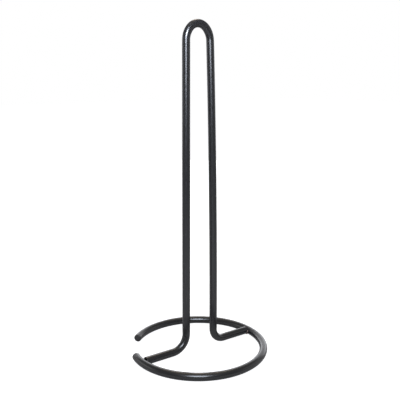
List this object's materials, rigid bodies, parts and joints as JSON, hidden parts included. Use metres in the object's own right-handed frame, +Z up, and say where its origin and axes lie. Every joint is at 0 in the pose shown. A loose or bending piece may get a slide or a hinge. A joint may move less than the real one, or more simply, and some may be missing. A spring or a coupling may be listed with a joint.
{
  "type": "paper towel holder",
  "caption": "Freestanding paper towel holder: a bent hairpin post welded by two feet inside an open base ring, all in black painted steel tube.",
  "frame": {"origin": "on the counter, at the centre of the base ring", "axes": "+Z up along the post, X along the two feet with the left foot at -X, ring opening at the back left (-X +Y)"},
  "size_m": [0.15, 0.15, 0.3479],
  "materials": {
    "black_paint": "semi-gloss black powder paint over mild steel tube",
    "weld_bead": "painted weld bead with a trace of brown where the paint is thin",
    "plug_plastic": "satin black polyethylene"
  },
  "bodies": {
    "root": {"base_ring": "black_paint", "hairpin_post": "black_paint", "left_weld": "weld_bead", "right_weld": "weld_bead", "back_end_plug": "plug_plastic", "front_end_plug": "plug_plastic"}
  },
  "joints": []
}
